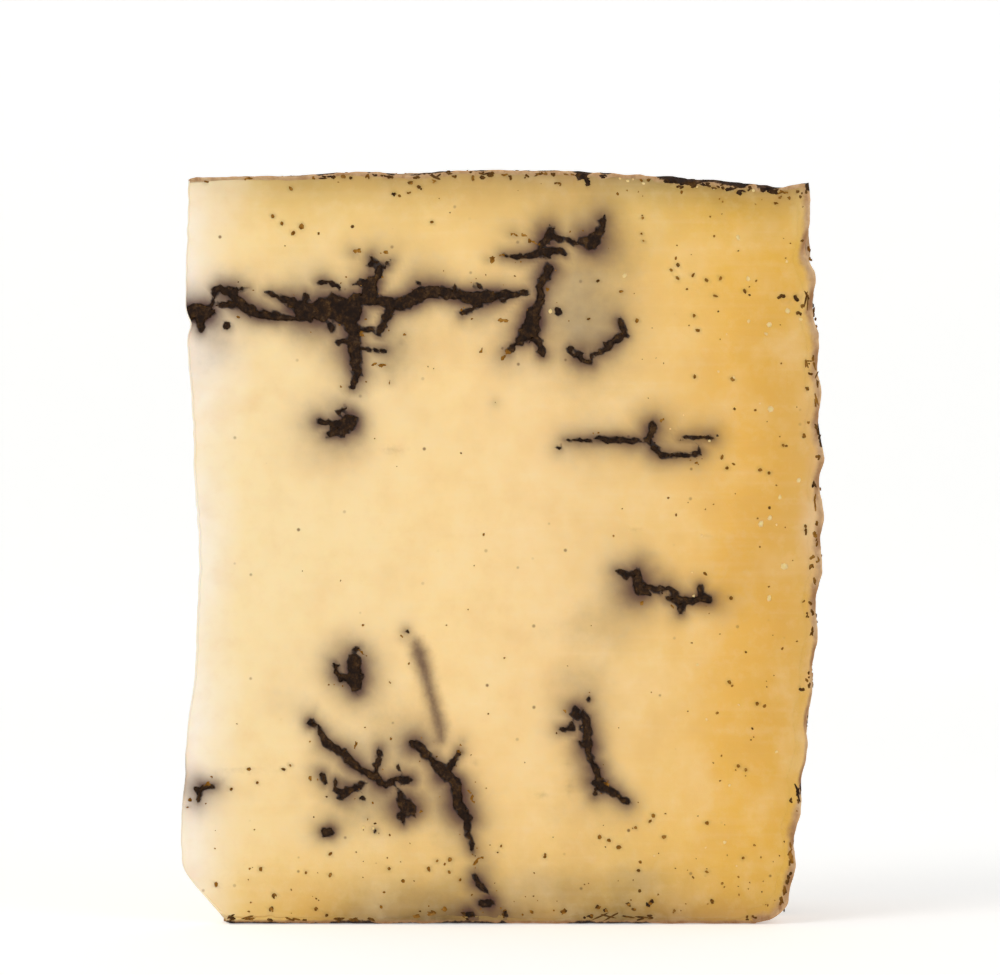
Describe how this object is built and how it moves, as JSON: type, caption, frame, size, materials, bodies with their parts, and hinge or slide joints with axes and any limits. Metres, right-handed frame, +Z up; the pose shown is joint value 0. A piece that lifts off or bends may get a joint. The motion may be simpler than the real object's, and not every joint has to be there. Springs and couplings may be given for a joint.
{
  "type": "truffle cheese wedge",
  "caption": "Wedge cut from a basket-moulded wheel of sheep's milk cheese marbled with truffle paste, standing on the wheel's flat base.",
  "frame": {"origin": "middle of the bounding box's floor, on the plane that the wedge stands on", "axes": "+Z up along the wheel's axis; +X from the tip edge to the rind along the front cut face, which looks to -Y; +Y into the wedge"},
  "size_m": [0.1066, 0.0536, 0.125],
  "materials": {
    "cut_cheese": "smooth, slightly waxy cut face, cream at the tip and amber towards the rind",
    "moulded_rind": "dry, matt, basket-moulded rind",
    "truffle_paste": "moist, nearly black paste"
  },
  "bodies": {
    "root": {"cheese_wedge": "cut_cheese"}
  },
  "joints": []
}
